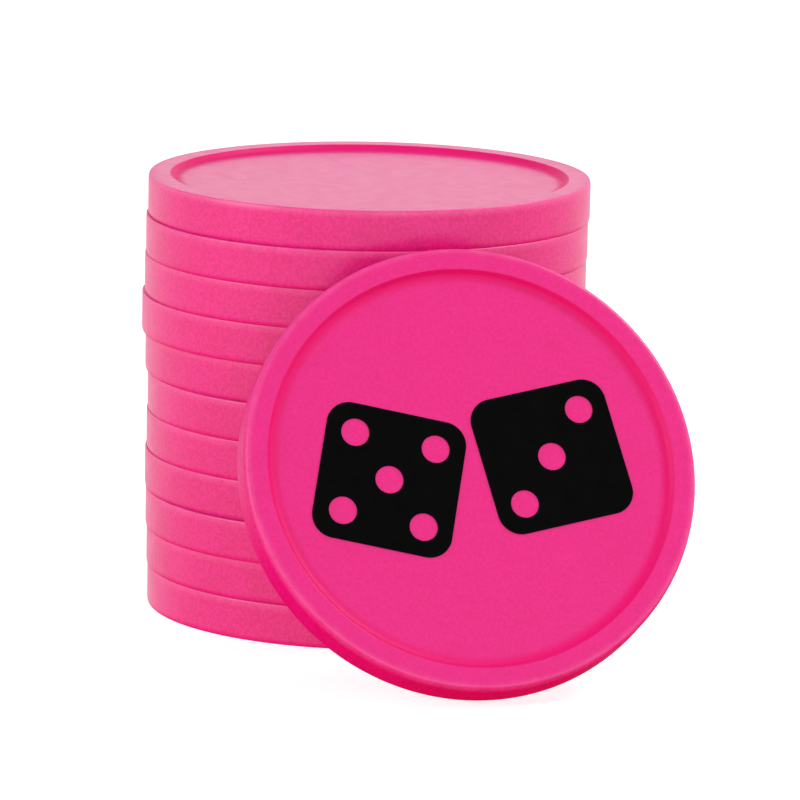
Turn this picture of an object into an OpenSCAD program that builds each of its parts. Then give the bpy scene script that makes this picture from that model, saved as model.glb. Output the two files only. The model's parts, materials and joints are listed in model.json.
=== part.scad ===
// Set of round moulded game tokens: a stack of bare tokens, and one printed token that leans on it.
// Lengths are in millimetres and angles in degrees. The origin is the centre of the stack's foot,
// +Z runs up the stack, and the leaning token stands in front of it, towards -Y.

/* [Token] */
// Diameter of a token
token_d = 29; // [22:0.5:45]
// Thickness of a token over its two rims
token_t = 2.6; // [1.8:0.1:5]
// Rounding of a token's outer edges
edge_r = 0.2; // [0.1:0.05:0.6]
// Width of the rim, from the outer edge to the recess
rim_w = 1.45; // [0.8:0.05:3]
// Depth of the recess in each face
recess_depth = 0.35; // [0.1:0.05:0.6]
// Run of the sloping wall between the rim and the recess floor
recess_run = 0.35; // [0.1:0.05:0.8]

/* [Stack] */
// Number of tokens in the stack
stack_count = 11; // [2:1:20]
// Largest sideways shift of a token from the bottom one
scatter = 0.55; // [0:0.05:0.8]

/* [Leaning token] */
// Lean of the token from the vertical
lean_angle = 28.5; // [20:0.5:45]
// Turn of its face about the vertical, to the right of the front
lean_turn = 13; // [-40:1:40]
// Sideways distance from the stack's axis to its centre line
lean_shift = 1.1; // [0:0.1:4]
// Clearance between it and the stack
lean_gap = 0.15; // [0.05:0.05:0.5]

/* [Print] */
// Thickness of the ink
ink_t = 0.06; // [0.02:0.02:0.2]
// Side of a printed die
die_side = 9; // [6:0.2:10]
// Corner radius of a printed die
die_corner_r = 1.5; // [0.5:0.1:2.5]
// Diameter of a pip left bare in a die
pip_d = 1.8; // [1:0.1:2.2]
// Distance from the middle of a die to its outer rows of pips
pip_pitch = 2.6; // [2:0.1:2.8]
// Distance between the middles of the two dice, across the face
dice_pitch = 10.6; // [9:0.2:12]
// Rise of the right die above the left one
dice_rise = 1.2; // [0:0.1:2]
// Turn of the left die on the face
left_die_turn = -14; // [-30:1:30]
// Turn of the right die on the face
right_die_turn = 11; // [-30:1:30]

/* [Hidden] */
token_r = token_d / 2;
rim_inner_r = token_r - rim_w;
recess_floor_r = rim_inner_r - recess_run;
// Centre of the rounded edge, from the token's axis and from its middle plane
edge_centre_r = token_r - edge_r;
edge_centre_h = token_t / 2 - edge_r;
stack_h = stack_count * token_t;

// Places of the stacked tokens, bottom first, as shares of the largest sideways shift
scatter_shares = [
    [0, 0], [-0.15, 0.15], [-0.3, -0.25], [-0.45, 0.3], [-0.3, 0.1], [-0.2, -0.15],
    [-0.55, 0.4], [-1, 0.25], [-0.7, -0.1], [-0.6, -0.4], [-0.4, -0.15]
];
function token_place(i) = scatter * scatter_shares[i % len(scatter_shares)];

// Directions across the leaning token's face and out of it, seen from above
across_dir = [cos(lean_turn), sin(lean_turn)];
out_dir = [sin(lean_turn), -cos(lean_turn)];

// Height of the leaning token's centre when its lower back edge stands on the table
lean_h = edge_centre_h * sin(lean_angle) + edge_centre_r * cos(lean_angle) + edge_r;
// Reach of the leaning token's upper back edge towards the stack, at an angle from its top
function back_edge_reach(a) = edge_centre_h * cos(lean_angle) + edge_centre_r * cos(a) * sin(lean_angle);
// Reach of a token's wall towards the leaning token, at the same angle
function wall_reach(i, a) =
    token_place(i) * out_dir
    + sqrt(
        pow(token_r + lean_gap + edge_r, 2)
        - pow(edge_centre_r * sin(a) + lean_shift - token_place(i) * across_dir, 2)
    );
// Angles to either side of its top at which the back edge may come nearest to the stack
touch_span = 30;
// Distance from the stack's axis at which the back edge clears the wall of every token
wall_distance = max([
    for (i = [0:stack_count - 1], a = [-touch_span:touch_span])
        wall_reach(i, a) + back_edge_reach(a)
]);
// Distance at which the back face clears the top edge of a stack that is lower than the token
top_place = token_place(stack_count - 1);
top_edge_distance = top_place * out_dir + token_r + lean_gap
    + token_t / 2 / cos(lean_angle) + (stack_h - lean_h) * tan(lean_angle);
lean_distance = min(wall_distance, top_edge_distance);
lean_place = lean_shift * across_dir + lean_distance * out_dir;

// Pips as shares of the distance to the outer rows
five_pip_shares = [[-1, -1], [1, -1], [0, 0], [-1, 1], [1, 1]];
three_pip_shares = [[-1, -1], [0, 0], [1, 1]];

token_colour = "#eb3681";
ink_colour = "#0a0a0a";
$fn = 180;

function token_name(i) = str("stack_token_", i < 9 ? "0" : "", i + 1);

// Half section of the token's plain disc, with its two rounded outer edges
module disc_section() {
    translate([0, -token_t / 2]) square([edge_centre_r, token_t]);
    translate([0, -edge_centre_h]) square([token_r, 2 * edge_centre_h]);
    for (side = [-1, 1]) translate([edge_centre_r, side * edge_centre_h]) circle(edge_r);
}

// Half section of the recess in the upper face
module recess_section() {
    floor_h = token_t / 2 - recess_depth;
    polygon([
        [0, floor_h], [recess_floor_r, floor_h], [rim_inner_r, token_t / 2], [0, token_t / 2]
    ]);
}

// One moulded token, centred on the origin, with the same recess in both faces
module token() {
    color(token_colour) rotate_extrude() difference() {
        disc_section();
        recess_section();
        mirror([0, 1]) recess_section();
    }
}

module stack_token(i) {
    place = token_place(i);
    translate([place.x, place.y, (i + 0.5) * token_t]) token();
}

// Puts what is centred on the origin, face up, where the leaning token is
module leaning() {
    translate([lean_place.x, lean_place.y, lean_h])
        rotate([90 - lean_angle, 0, lean_turn])
            children();
}

module leaning_token() {
    leaning() token();
}

module rounded_square(side, corner_r) {
    inner = side - 2 * corner_r;
    square([side, inner], center = true);
    square([inner, side], center = true);
    for (x = [-1, 1], y = [-1, 1]) translate([x, y] * inner / 2) circle(corner_r);
}

// One printed die: a solid rounded square with bare pips
module die(pip_shares) {
    linear_extrude(ink_t) difference() {
        rounded_square(die_side, die_corner_r);
        for (share = pip_shares) translate(share * pip_pitch) circle(d = pip_d);
    }
}

// The print on the leaning token's recess floor
module face_print() {
    color(ink_colour) leaning() translate([0, 0, token_t / 2 - recess_depth]) {
        translate([-dice_pitch, -dice_rise] / 2) rotate(left_die_turn) die(five_pip_shares);
        translate([dice_pitch, dice_rise] / 2) rotate(right_die_turn) die(three_pip_shares);
    }
}

for (i = [0:stack_count - 1]) stack_token(i);
leaning_token();
face_print();
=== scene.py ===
"""Looks of a set of round moulded game tokens: a loose stack, and a printed token that leans on it."""
import json
import math

import bmesh
import bpy
from mathutils import Matrix, Vector


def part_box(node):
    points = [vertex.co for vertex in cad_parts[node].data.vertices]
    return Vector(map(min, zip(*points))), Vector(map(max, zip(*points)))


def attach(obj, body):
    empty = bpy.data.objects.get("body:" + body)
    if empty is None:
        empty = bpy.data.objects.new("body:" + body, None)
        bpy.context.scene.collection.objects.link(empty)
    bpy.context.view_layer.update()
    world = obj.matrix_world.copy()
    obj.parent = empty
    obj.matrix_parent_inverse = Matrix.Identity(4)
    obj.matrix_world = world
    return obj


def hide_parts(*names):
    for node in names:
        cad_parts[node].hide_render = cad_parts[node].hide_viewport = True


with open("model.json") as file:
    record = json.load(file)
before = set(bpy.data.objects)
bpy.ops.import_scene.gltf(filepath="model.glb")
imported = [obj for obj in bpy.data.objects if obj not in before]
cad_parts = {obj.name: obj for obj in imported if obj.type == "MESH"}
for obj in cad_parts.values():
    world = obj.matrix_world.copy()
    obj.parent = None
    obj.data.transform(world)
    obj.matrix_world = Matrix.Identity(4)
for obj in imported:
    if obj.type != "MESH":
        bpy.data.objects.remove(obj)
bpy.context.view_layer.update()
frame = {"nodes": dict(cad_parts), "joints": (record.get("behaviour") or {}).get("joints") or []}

UP = Vector((0, 0, 1))
STACK_NODES = sorted(name for name in frame["nodes"] if name.startswith("stack_token_"))
LEANING_NODE = "leaning_token"
PRINT_NODE = "face_print"
TIP_JOINT = next(joint for joint in frame["joints"] if joint["child"] == LEANING_NODE)

# What a token's material reads: local coordinates in metres, and the token's number from the bottom up
PLACE = "token_place"
NUMBER = "token_number"
LEANING_NUMBER = len(STACK_NODES)

# Sizes of a token, in metres
foot_low, foot_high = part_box(STACK_NODES[0])
TOKEN_R = (foot_high.x - foot_low.x) / 2
TOKEN_T = foot_high.z - foot_low.z
RIM_WIDTH = 0.00145
RECESS_DEPTH = 0.00035
RECESS_RUN = 0.00035
RIM_INNER_R = TOKEN_R - RIM_WIDTH
RECESS_R = RIM_INNER_R - RECESS_RUN
RECESS_FLOOR_H = TOKEN_T / 2 - RECESS_DEPTH
# How far the rounding of a corner reaches along its two sides, the one nearer the face's middle first
UPPER_EDGE_REACH = (0.00006, 0.0001)
LOWER_EDGE_REACH = (0.00007, 0.0004)
TOP_EDGE_REACH = (0.0001, 0.0004)
LEANING_FRONT_REACH = (0.0003, 0.0005)
LEANING_BACK_REACH = (0.0002, 0.0002)
RIM_INNER_REACH = (0.00004, 0.00004)
RECESS_COVE_REACH = (0.0003, 0.0002)
TURN_STEPS = 360
ARC_STEPS = 8
# Each token of the stack lies turned by this much from the one below it
TOKEN_TURN = math.radians(137.5)

# Sizes of the print, in metres
INK_T = 0.00006
INK_EDGE_ROUND = 0.00002
DIE_SIDE = 0.009
DIE_CORNER_R = 0.0015
PIP_R = 0.0009
PIP_PITCH = 0.0026
DICE_PITCH = 0.0106
DICE_RISE = 0.0012
LEFT_DIE_TURN = math.radians(-14)
RIGHT_DIE_TURN = math.radians(11)
# Places of the pips, in pitches from the middle of a die
FIVE_PIPS = [(-1, -1), (1, -1), (0, 0), (-1, 1), (1, 1)]
THREE_PIPS = [(-1, -1), (0, 0), (1, 1)]
PIP_STEPS = 64
CORNER_STEPS = 16

# The camera, as metres, millimetres of lens and angles
CAMERA_AIM = Vector((0.00203, -0.00214, 0.014))
CAMERA_DISTANCE = 0.4273
CAMERA_YAW = math.radians(0.481)
CAMERA_PITCH = math.radians(11.025)
CAMERA_ROLL = math.radians(-1.093)
CAMERA_LENS = 292.6
CAMERA_SENSOR = 36.0

# Light from all round, as pairs of a height's sine and a colour, from straight below to straight above
LIGHTBOX = [
    (-1.0, (0.9, 0.04, 0.13)),
    (-0.4, (0.9, 0.04, 0.13)),
    (-0.2, (1.35, 1.35, 1.35)),
    (0.0, (1.05, 1.05, 1.05)),
    (0.2, (1.85, 1.85, 1.85)),
    (0.4, (0.6, 0.6, 0.6)),
    (1.0, (0.6, 0.6, 0.6)),
]
# Strength of that light from straight ahead of the set and from straight behind it
LIGHTBOX_FRONT = 1.15
LIGHTBOX_BACK = 0.78
# Round softboxes: name, degrees to the right of the front and up, size in metres and strength
SOFTBOXES = [
    ("front", 12, 18, 0.1, 0.08),
    ("upper_right", 100, 48, 0.2, 0.6),
    ("left", -70, 20, 0.3, 0.41),
]
SOFTBOX_DISTANCE = 0.5
LIGHT_AIM = Vector((0, -0.01, 0.014))

# The floor: its size in metres, the tones of its paper, its roughness and its own glow
FLOOR_SIZE = 8.0
FLOOR_DEEP = (0.43, 0.43, 0.43, 1)
FLOOR_LIGHT = (0.47, 0.47, 0.47, 1)
FLOOR_ROUGHNESS = 0.9
FLOOR_GLOW = 0.75

# Repeats of the noises, per metre, and how many finer layers each has
GRAIN_SCALE = 5000
GRAIN_DETAIL = 1.0
MOTTLE_SCALE = 260
MOTTLE_DETAIL = 3.0
PATCH_SCALE = 900
PATCH_DETAIL = 2.0
SCRATCH_SCALE = (60, 5000, 60)
SCRATCH_DETAIL = 1.0
FIBRE_SCALE = 900.0
FIBRE_DETAIL = 3.0
# The middle of a noise, the values that most of it lies between, and those at which a scratch shows
NOISE_MIDDLE = 0.5
NOISE_SPAN = (0.3, 0.7)
SCRATCH_SPAN = (0.64, 0.72)

# Colours of the plastic: its two tones, the painted highlight on its upper edges and the painted shade
# in the corner of a recess
PLASTIC_DEEP = (0.57, 0.0025, 0.145, 1)
PLASTIC_LIGHT = (0.67, 0.0065, 0.205, 1)
PLASTIC_EDGE_HIGHLIGHT = (0.8, 0.2, 0.4, 1)
PLASTIC_CORNER_SHADE = (0.62, 0.001, 0.095, 1)
# How far from a noise's middle the plastic has all of its deep or its light tone
TONE_SPAN = 0.14
# How much of the tone's change is broad mottling, and not fine grain
MOTTLE_SHARE = 0.25
# Part of the grain that the smooth faces show, and where the faces start to turn into the wall
FACE_GRAIN = 0.4
FACE_END_R = TOKEN_R - LEANING_FRONT_REACH[0]
GRAIN_HEIGHT = 0.000004
# How far the painted highlight and wear reach from an upper edge, how much of them is left between their
# patches, and how much of the highlight shows
HIGHLIGHT_AND_WEAR_REACH = 0.0006
LEAST_HIGHLIGHT_AND_WEAR = 0.6
EDGE_HIGHLIGHT_SHARE = 0.28
# How far the painted shade reaches over a recess floor, where it fades out up the wall, and how much
# shows
CORNER_REACH = 0.0006
CORNER_FADE_R = RIM_INNER_R - RECESS_RUN / 8
CORNER_END_R = RIM_INNER_R + RECESS_RUN / 4
CORNER_SHADE_SHARE = 0.6
# Roughness of the plastic from patch to patch, and what scratches, worn edges under the painted
# highlight and recess corners under the painted shade add to it
PLASTIC_ROUGHNESS = (0.29, 0.33)
SCRATCH_ROUGHNESS = 0.06
WORN_ROUGHNESS = 0.1
CORNER_ROUGHNESS = 0.3
# Shine of the plastic, and what the painted shade in recess corners and the leaning token's duller wall
# take from it
PLASTIC_SHINE = 0.5
CORNER_DULLING = 0.6
WALL_DULLING = 0.48

# The ink: its two tones, its roughness from patch to patch, its shine and the height of its grain
INK_DEEP = (0.0006, 0.0006, 0.0006, 1)
INK_LIGHT = (0.002, 0.002, 0.002, 1)
INK_ROUGHNESS = (0.5, 0.65)
INK_SHINE = 0.02
INK_GRAIN_HEIGHT = 0.000003


def rounded_corner(before, corner, after, reach):
    """Points that round one corner of an outline: a quarter ellipse that meets both sides smoothly."""
    to_before = (before - corner).normalized() * reach[0]
    to_after = (after - corner).normalized() * reach[1]
    angles = [math.pi / 2 * i / ARC_STEPS for i in range(ARC_STEPS + 1)]
    return [corner + to_before * (1 - math.sin(a)) + to_after * (1 - math.cos(a)) for a in angles]


def face_corners(edge_reach):
    """Corners of the half section on a token's upper face, from the middle out, with their roundings."""
    return [
        (Vector((RECESS_R, RECESS_FLOOR_H)), RECESS_COVE_REACH),
        (Vector((RIM_INNER_R, TOKEN_T / 2)), RIM_INNER_REACH),
        (Vector((TOKEN_R, TOKEN_T / 2)), edge_reach),
    ]


def token_outline(upper_reach, lower_reach):
    """Half section of a token, from the middle of its upper face round to that of its lower face."""
    lower = []
    for point, reach in reversed(face_corners(lower_reach)):
        lower.append((Vector((point.x, -point.y)), reach[::-1]))
    corners = face_corners(upper_reach) + lower
    first = Vector((0, RECESS_FLOOR_H))
    last = Vector((0, -RECESS_FLOOR_H))
    path = [first] + [point for point, reach in corners] + [last]
    outline = [first]
    for before, (corner, reach), after in zip(path, corners, path[2:]):
        outline += rounded_corner(before, corner, after, reach)
    return outline + [last]


def mark_place(mesh, points, number):
    """Keeps each point's local place and the token's number, for the material."""
    local = mesh.attributes.new(PLACE, "FLOAT_VECTOR", "POINT")
    local.data.foreach_set("vector", [value for point in points for value in point])
    token = mesh.attributes.new(NUMBER, "FLOAT", "POINT")
    token.data.foreach_set("value", [number] * len(points))


def lathe_points(outline):
    """Points and normals of an outline turned about Z: its two ends on the axis, then ring by ring."""
    points = [UP * outline[0].y, UP * outline[-1].y]
    normals = [UP, -UP]
    for before, point, after in zip(outline, outline[1:], outline[2:]):
        along = (after - before).normalized()
        for i in range(TURN_STEPS):
            turn = 2 * math.pi * i / TURN_STEPS
            ray = Vector((math.cos(turn), math.sin(turn), 0))
            points.append(ray * point.x + UP * point.y)
            normals.append(UP * along.x - ray * along.y)
    return points, normals


def lathe_faces(ring_count):
    """Faces that join the points of a turned outline into a closed surface."""
    rings = [range(2 + i * TURN_STEPS, 2 + (i + 1) * TURN_STEPS) for i in range(ring_count)]
    faces = []
    for i in range(TURN_STEPS):
        j = (i + 1) % TURN_STEPS
        faces.append((0, rings[0][i], rings[0][j]))
        for upper, lower in zip(rings, rings[1:]):
            faces.append((upper[i], lower[i], lower[j], upper[j]))
        faces.append((1, rings[-1][j], rings[-1][i]))
    return faces


def lathe(name, outline, place, number):
    """Closed smooth mesh of an outline turned about Z, then put in its place."""
    points, normals = lathe_points(outline)
    mesh = bpy.data.meshes.new(name)
    mesh.from_pydata([place @ point for point in points], [], lathe_faces(len(outline) - 2))
    mark_place(mesh, points, number)
    mesh.shade_smooth()
    turn = place.to_3x3()
    mesh.normals_split_custom_set_from_vertices([turn @ normal for normal in normals])
    return mesh


def dress(piece, body, node, material):
    """Links a finished piece, gives it its material and makes it stand for its CAD node."""
    bpy.context.scene.collection.objects.link(piece)
    piece.data.materials.append(material)
    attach(piece, body)
    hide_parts(node)


def middle_of(node):
    low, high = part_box(node)
    return (low + high) / 2


def make_stack(material):
    """The tokens of the stack, each where its CAD node is. The top one's upper edge is rounder."""
    for i, node in enumerate(STACK_NODES):
        upper_reach = TOP_EDGE_REACH if node == STACK_NODES[-1] else UPPER_EDGE_REACH
        place = Matrix.Translation(middle_of(node)) @ Matrix.Rotation(i * TOKEN_TURN, 4, "Z")
        mesh = lathe(node, token_outline(upper_reach, LOWER_EDGE_REACH), place, i)
        token = bpy.data.objects.new("moulded_" + node, mesh)
        dress(token, node, node, material)


def leaning_place():
    """Place of the leaning token: local +Z comes out of its printed face, and local +Y runs up it."""
    across = Vector(TIP_JOINT["axis"]).normalized()
    lean = math.radians(TIP_JOINT["range_deg"][1]) - math.pi / 2
    face = across.cross(UP) * math.cos(lean) + UP * math.sin(lean)
    turn = Matrix((across, face.cross(across), face)).transposed()
    return Matrix.Translation(middle_of(LEANING_NODE)) @ turn.to_4x4()


def make_leaning_token(material):
    outline = token_outline(LEANING_FRONT_REACH, LEANING_BACK_REACH)
    mesh = lathe(LEANING_NODE, outline, leaning_place(), LEANING_NUMBER)
    token = bpy.data.objects.new("moulded_" + LEANING_NODE, mesh)
    dress(token, LEANING_NODE, LEANING_NODE, material)


def arc_ring(middle, radius, start, sweep, steps, side):
    """Points of an arc with their directions out of the ink. The side is 1 outside and -1 in a hole."""
    ring = []
    for i in range(steps):
        angle = start + sweep * i / steps
        ray = Vector((math.cos(angle), math.sin(angle)))
        ring.append((middle + ray * radius, ray * side))
    return ring


def die_rings(pips):
    """The outside of a printed die, and its bare pips."""
    reach = DIE_SIDE / 2 - DIE_CORNER_R
    outside = []
    for i, share in enumerate([(1, 1), (-1, 1), (-1, -1), (1, -1)]):
        corner = Vector(share) * reach
        outside += arc_ring(corner, DIE_CORNER_R, i * math.pi / 2, math.pi / 2, CORNER_STEPS, 1)
    rings = [outside]
    for pip in pips:
        rings.append(arc_ring(Vector(pip) * PIP_PITCH, PIP_R, 0, 2 * math.pi, PIP_STEPS, -1))
    return rings


def ink_steps():
    """Insets and heights up the side of the ink, whose upper edge is softly rounded."""
    steps = [(0, RECESS_FLOOR_H)]
    for i in range(ARC_STEPS + 1):
        angle = math.pi / 2 * i / ARC_STEPS
        inset = INK_EDGE_ROUND * (1 - math.cos(angle))
        drop = INK_EDGE_ROUND * (1 - math.sin(angle))
        steps.append((inset, RECESS_FLOOR_H + INK_T - drop))
    return steps


def loop_edges(bm, loop):
    return [bm.edges.get((loop[i - 1], loop[i])) for i in range(len(loop))]


def add_die(bm, place, turn, pips):
    """Adds one die of ink."""
    spin = Matrix.Rotation(turn, 2)
    lowest = []
    highest = []
    for ring in die_rings(pips):
        loops = []
        for inset, height in ink_steps():
            flat = [place + spin @ (point - ray * inset) for point, ray in ring]
            loops.append([bm.verts.new((point.x, point.y, height)) for point in flat])
        for lower, upper in zip(loops, loops[1:]):
            for i in range(len(lower)):
                bm.faces.new((lower[i - 1], lower[i], upper[i], upper[i - 1]))
        lowest += loop_edges(bm, loops[0])
        highest += loop_edges(bm, loops[-1])
    for edges in (lowest, highest):
        bmesh.ops.triangle_fill(bm, use_beauty=True, edges=edges)


def make_print(material):
    """The two printed dice on the leaning token's recess floor."""
    offset = Vector((DICE_PITCH, DICE_RISE)) / 2
    bm = bmesh.new()
    add_die(bm, -offset, LEFT_DIE_TURN, FIVE_PIPS)
    add_die(bm, offset, RIGHT_DIE_TURN, THREE_PIPS)
    bmesh.ops.recalc_face_normals(bm, faces=bm.faces)
    mesh = bpy.data.meshes.new(PRINT_NODE)
    bm.to_mesh(mesh)
    bm.free()
    mark_place(mesh, [vertex.co for vertex in mesh.vertices], LEANING_NUMBER)
    mesh.transform(leaning_place())
    dice = bpy.data.objects.new("printed_dice", mesh)
    dress(dice, LEANING_NODE, PRINT_NODE, material)


def new_material(name):
    """A new material, with its node tree and its shader."""
    material = bpy.data.materials.new(name)
    material.use_nodes = True
    return material, material.node_tree, material.node_tree.nodes["Principled BSDF"]


def add_node(tree, kind, inputs, **settings):
    """Adds a node. An input is a number or colour, or the output of another node that feeds it."""
    node = tree.nodes.new(kind)
    for name, value in settings.items():
        setattr(node, name, value)
    for socket, value in inputs.items():
        if isinstance(value, bpy.types.NodeSocket):
            tree.links.new(value, node.inputs[socket])
        else:
            node.inputs[socket].default_value = value
    return node


def math_node(tree, operation, first, second):
    return add_node(tree, "ShaderNodeMath", {0: first, 1: second}, operation=operation).outputs[0]


def ramp_node(tree, value, start, end, low=0.0, high=1.0):
    """Goes smoothly from low to high as a value goes from start to end."""
    inputs = {"Value": value, "From Min": start, "From Max": end, "To Min": low, "To Max": high}
    ramp = add_node(tree, "ShaderNodeMapRange", inputs, interpolation_type="SMOOTHSTEP")
    return ramp.outputs["Result"]


def blend_node(tree, share, first, second):
    inputs = {"Fac": share, "Color1": first, "Color2": second}
    return add_node(tree, "ShaderNodeMixRGB", inputs).outputs["Color"]


def scaled_node(tree, place, scale):
    inputs = {0: place, 1: scale}
    return add_node(tree, "ShaderNodeVectorMath", inputs, operation="MULTIPLY").outputs["Vector"]


def noise_node(tree, place, number, scale, detail):
    """Noise that differs from token to token."""
    inputs = {"Vector": place, "W": number, "Scale": scale, "Detail": detail}
    return add_node(tree, "ShaderNodeTexNoise", inputs, noise_dimensions="4D").outputs["Fac"]


def place_nodes(tree):
    """A point's local place, and the number of its token."""
    place = add_node(tree, "ShaderNodeAttribute", {}, attribute_name=PLACE).outputs["Vector"]
    number = add_node(tree, "ShaderNodeAttribute", {}, attribute_name=NUMBER).outputs["Fac"]
    return place, number


def radius_node(tree, place):
    """Distance from the token's axis."""
    flat = scaled_node(tree, place, (1, 1, 0))
    return add_node(tree, "ShaderNodeVectorMath", {0: flat}, operation="LENGTH").outputs["Value"]


def edge_highlight_and_wear_node(tree, place, radius, patches):
    """Patchy painted highlight and wear along a token's upper outer edge."""
    height = add_node(tree, "ShaderNodeSeparateXYZ", {"Vector": place}).outputs["Z"]
    reach = math_node(tree, "SUBTRACT", TOKEN_R + TOKEN_T / 2, math_node(tree, "ADD", radius, height))
    edge = ramp_node(tree, reach, HIGHLIGHT_AND_WEAR_REACH, 0.0)
    return math_node(tree, "MULTIPLY", edge, ramp_node(tree, patches, *NOISE_SPAN, LEAST_HIGHLIGHT_AND_WEAR, 1.0))


def corner_shade_node(tree, radius):
    """Painted shade in the corner between a recess floor and its wall."""
    inner = ramp_node(tree, radius, RECESS_R - CORNER_REACH, RECESS_R)
    outer = ramp_node(tree, radius, CORNER_END_R, CORNER_FADE_R)
    return math_node(tree, "MULTIPLY", math_node(tree, "MULTIPLY", inner, outer), CORNER_SHADE_SHARE)


def scratch_node(tree, place, number):
    """Fine scratches that run across a face."""
    drawn_out = scaled_node(tree, place, SCRATCH_SCALE)
    return ramp_node(tree, noise_node(tree, drawn_out, number, 1.0, SCRATCH_DETAIL), *SCRATCH_SPAN)


def leaning_wall_node(tree, radius, number):
    """The wall of the leaning token, which has the highest number."""
    wall = ramp_node(tree, radius, FACE_END_R, TOKEN_R)
    leaning = math_node(tree, "GREATER_THAN", number, LEANING_NUMBER - 0.5)
    return math_node(tree, "MULTIPLY", wall, leaning)


def change_node(tree, operation, value, mask, amount):
    """Adds an amount to a value, or takes it away, where a mask shows."""
    return math_node(tree, operation, value, math_node(tree, "MULTIPLY", mask, amount))


def plastic_colour(tree, grain, mottle, share, edge_highlight_and_wear, corner):
    """Colour of the plastic. The share is how much of the change between its two tones shows."""
    tone = math_node(tree, "MULTIPLY", mottle, MOTTLE_SHARE)
    tone = change_node(tree, "ADD", tone, grain, 1 - MOTTLE_SHARE)
    tone = math_node(tree, "MULTIPLY", math_node(tree, "SUBTRACT", tone, NOISE_MIDDLE), share)
    light = ramp_node(tree, tone, -TONE_SPAN, TONE_SPAN)
    colour = blend_node(tree, light, PLASTIC_DEEP, PLASTIC_LIGHT)
    # A painted highlight: a paler tone laid along the upper outer edges
    colour = blend_node(tree, math_node(tree, "MULTIPLY", edge_highlight_and_wear, EDGE_HIGHLIGHT_SHARE), colour, PLASTIC_EDGE_HIGHLIGHT)
    # Painted shade: a deeper tone in the corners of the recesses
    return blend_node(tree, corner, colour, PLASTIC_CORNER_SHADE)


def plastic_roughness(tree, patches, scratches, edge_highlight_and_wear, corner):
    rough = ramp_node(tree, patches, *NOISE_SPAN, *PLASTIC_ROUGHNESS)
    rough = change_node(tree, "ADD", rough, scratches, SCRATCH_ROUGHNESS)
    rough = change_node(tree, "ADD", rough, edge_highlight_and_wear, WORN_ROUGHNESS)
    return change_node(tree, "ADD", rough, corner, CORNER_ROUGHNESS)


def add_bump(tree, shader, height, distance):
    bump = add_node(tree, "ShaderNodeBump", {"Height": height, "Distance": distance})
    tree.links.new(bump.outputs["Normal"], shader.inputs["Normal"])


def plastic_material():
    """Pink moulded plastic: grained, mottled, with a painted highlight and wear on its upper edges, and
    painted shade in its recesses' corners.
    """
    material, tree, shader = new_material("token_plastic")
    place, number = place_nodes(tree)
    radius = radius_node(tree, place)
    grain = noise_node(tree, place, number, GRAIN_SCALE, GRAIN_DETAIL)
    mottle = noise_node(tree, place, number, MOTTLE_SCALE, MOTTLE_DETAIL)
    patches = noise_node(tree, place, number, PATCH_SCALE, PATCH_DETAIL)
    # Where a highlight is painted along the upper edges, which are also worn rougher
    edge_highlight_and_wear = edge_highlight_and_wear_node(tree, place, radius, patches)
    # Where shade is painted into the recess corners
    corner = corner_shade_node(tree, radius)
    share = ramp_node(tree, radius, FACE_END_R, TOKEN_R, FACE_GRAIN, 1.0)
    colour = plastic_colour(tree, grain, mottle, share, edge_highlight_and_wear, corner)
    tree.links.new(colour, shader.inputs["Base Color"])
    rough = plastic_roughness(tree, patches, scratch_node(tree, place, number), edge_highlight_and_wear, corner)
    tree.links.new(rough, shader.inputs["Roughness"])
    # The painted shade in the recess corners also takes shine away there
    shine = change_node(tree, "SUBTRACT", PLASTIC_SHINE, corner, CORNER_DULLING)
    leaning_wall = leaning_wall_node(tree, radius, number)
    shine = change_node(tree, "SUBTRACT", shine, leaning_wall, WALL_DULLING)
    tree.links.new(shine, shader.inputs["Specular IOR Level"])
    add_bump(tree, shader, math_node(tree, "MULTIPLY", grain, share), GRAIN_HEIGHT)
    return material


def ink_material():
    """Matt black ink, a little uneven."""
    material, tree, shader = new_material("ink")
    place, number = place_nodes(tree)
    grain = noise_node(tree, place, number, GRAIN_SCALE, GRAIN_DETAIL)
    patches = noise_node(tree, place, number, PATCH_SCALE, PATCH_DETAIL)
    tree.links.new(blend_node(tree, patches, INK_DEEP, INK_LIGHT), shader.inputs["Base Color"])
    rough = ramp_node(tree, patches, *NOISE_SPAN, *INK_ROUGHNESS)
    tree.links.new(rough, shader.inputs["Roughness"])
    shader.inputs["Specular IOR Level"].default_value = INK_SHINE
    add_bump(tree, shader, grain, INK_GRAIN_HEIGHT)
    return material


def floor_material():
    """Pale paper with a faint grain, and with a glow of its own that keeps shadows on it faint."""
    material, tree, shader = new_material("floor")
    place = add_node(tree, "ShaderNodeTexCoord", {}).outputs["Object"]
    inputs = {"Vector": place, "Scale": FIBRE_SCALE, "Detail": FIBRE_DETAIL}
    fibres = add_node(tree, "ShaderNodeTexNoise", inputs).outputs["Fac"]
    tree.links.new(blend_node(tree, fibres, FLOOR_DEEP, FLOOR_LIGHT), shader.inputs["Base Color"])
    shader.inputs["Roughness"].default_value = FLOOR_ROUGHNESS
    shader.inputs["Emission Color"].default_value = (1, 1, 1, 1)
    shader.inputs["Emission Strength"].default_value = FLOOR_GLOW
    return material


def make_floor():
    """A floor that shows to the camera alone: the light from below is the lightbox's."""
    half = FLOOR_SIZE / 2
    corners = [(-half, -half, 0), (half, -half, 0), (half, half, 0), (-half, half, 0)]
    mesh = bpy.data.meshes.new("floor")
    mesh.from_pydata(corners, [], [(0, 1, 2, 3)])
    floor = bpy.data.objects.new("floor", mesh)
    bpy.context.scene.collection.objects.link(floor)
    mesh.materials.append(floor_material())
    floor.visible_diffuse = False
    floor.visible_glossy = False
    floor.visible_shadow = False


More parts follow.
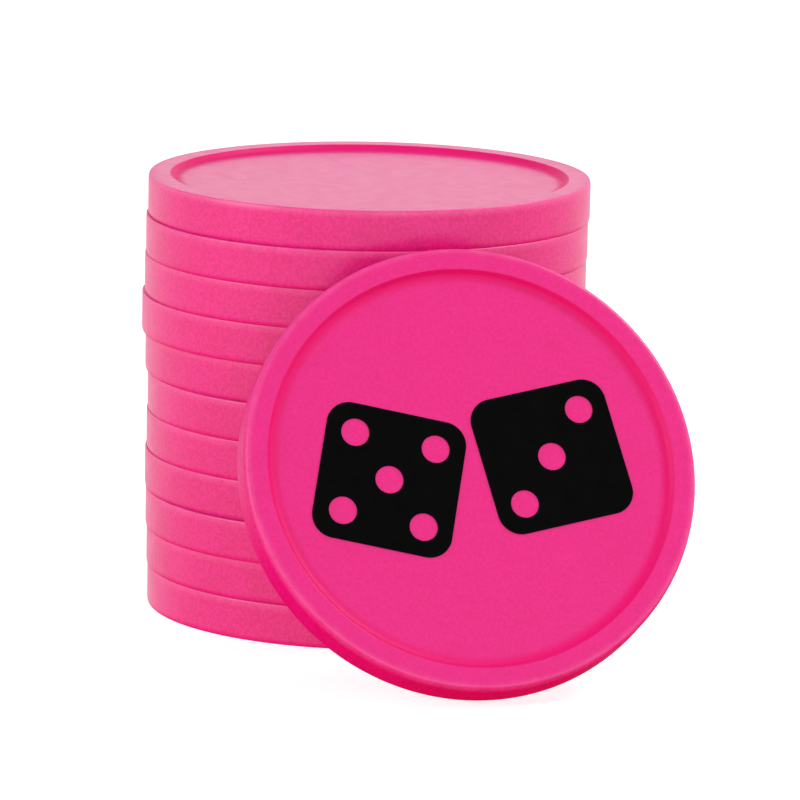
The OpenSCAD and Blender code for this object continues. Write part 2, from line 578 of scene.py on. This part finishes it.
def make_lightbox():
    """Soft light from all round, which is tinted where it comes back from below."""
    world = bpy.data.worlds.new("lightbox")
    bpy.context.scene.world = world
    world.use_nodes = True
    tree = world.node_tree
    way = add_node(tree, "ShaderNodeTexCoord", {})
    parts = add_node(tree, "ShaderNodeSeparateXYZ", {"Vector": way.outputs["Generated"]})
    share = add_node(tree, "ShaderNodeMapRange", {"Value": parts.outputs["Z"], "From Min": -1.0})
    ramp = add_node(tree, "ShaderNodeValToRGB", {"Fac": share.outputs["Result"]})
    stops = ramp.color_ramp.elements
    while len(stops) < len(LIGHTBOX):
        stops.new(1)
    for stop, (sine, colour) in zip(stops, LIGHTBOX):
        stop.position = (sine + 1) / 2
        stop.color = (*colour, 1)
    background = tree.nodes["Background"]
    tree.links.new(ramp.outputs["Color"], background.inputs["Color"])
    strength = ramp_node(tree, parts.outputs["Y"], -1.0, 1.0, LIGHTBOX_FRONT, LIGHTBOX_BACK)
    tree.links.new(strength, background.inputs["Strength"])


def make_softbox(name, azimuth, elevation, size, strength):
    """A round softbox, which lights a surface that faces it as a lightbox of that strength would."""
    across = math.cos(math.radians(elevation))
    way = Vector((
        math.sin(math.radians(azimuth)) * across,
        -math.cos(math.radians(azimuth)) * across,
        math.sin(math.radians(elevation)),
    ))
    data = bpy.data.lights.new(name, "AREA")
    data.shape = "DISK"
    data.size = size
    data.energy = strength * (math.pi * SOFTBOX_DISTANCE) ** 2
    softbox = bpy.data.objects.new(name, data)
    bpy.context.scene.collection.objects.link(softbox)
    softbox.location = LIGHT_AIM + way * SOFTBOX_DISTANCE
    softbox.rotation_euler = way.to_track_quat("Z", "Y").to_euler()
    softbox.visible_camera = False


def make_camera():
    """The camera, at the photograph's viewing angle."""
    forward = Vector((
        math.sin(CAMERA_YAW) * math.cos(CAMERA_PITCH),
        math.cos(CAMERA_YAW) * math.cos(CAMERA_PITCH),
        -math.sin(CAMERA_PITCH),
    ))
    right = forward.cross(UP).normalized()
    turn = Matrix((right, right.cross(forward), -forward)).transposed().to_4x4()
    data = bpy.data.cameras.new("camera")
    data.lens = CAMERA_LENS
    data.sensor_width = CAMERA_SENSOR
    camera = bpy.data.objects.new("camera", data)
    bpy.context.scene.collection.objects.link(camera)
    place = Matrix.Translation(CAMERA_AIM - forward * CAMERA_DISTANCE)
    camera.matrix_world = place @ turn @ Matrix.Rotation(-CAMERA_ROLL, 4, "Z")
    bpy.context.scene.camera = camera


plastic = plastic_material()
make_stack(plastic)
make_leaning_token(plastic)
make_print(ink_material())
make_floor()
make_lightbox()
for softbox in SOFTBOXES:
    make_softbox(*softbox)
make_camera()
bpy.context.scene.view_settings.view_transform = "Standard"
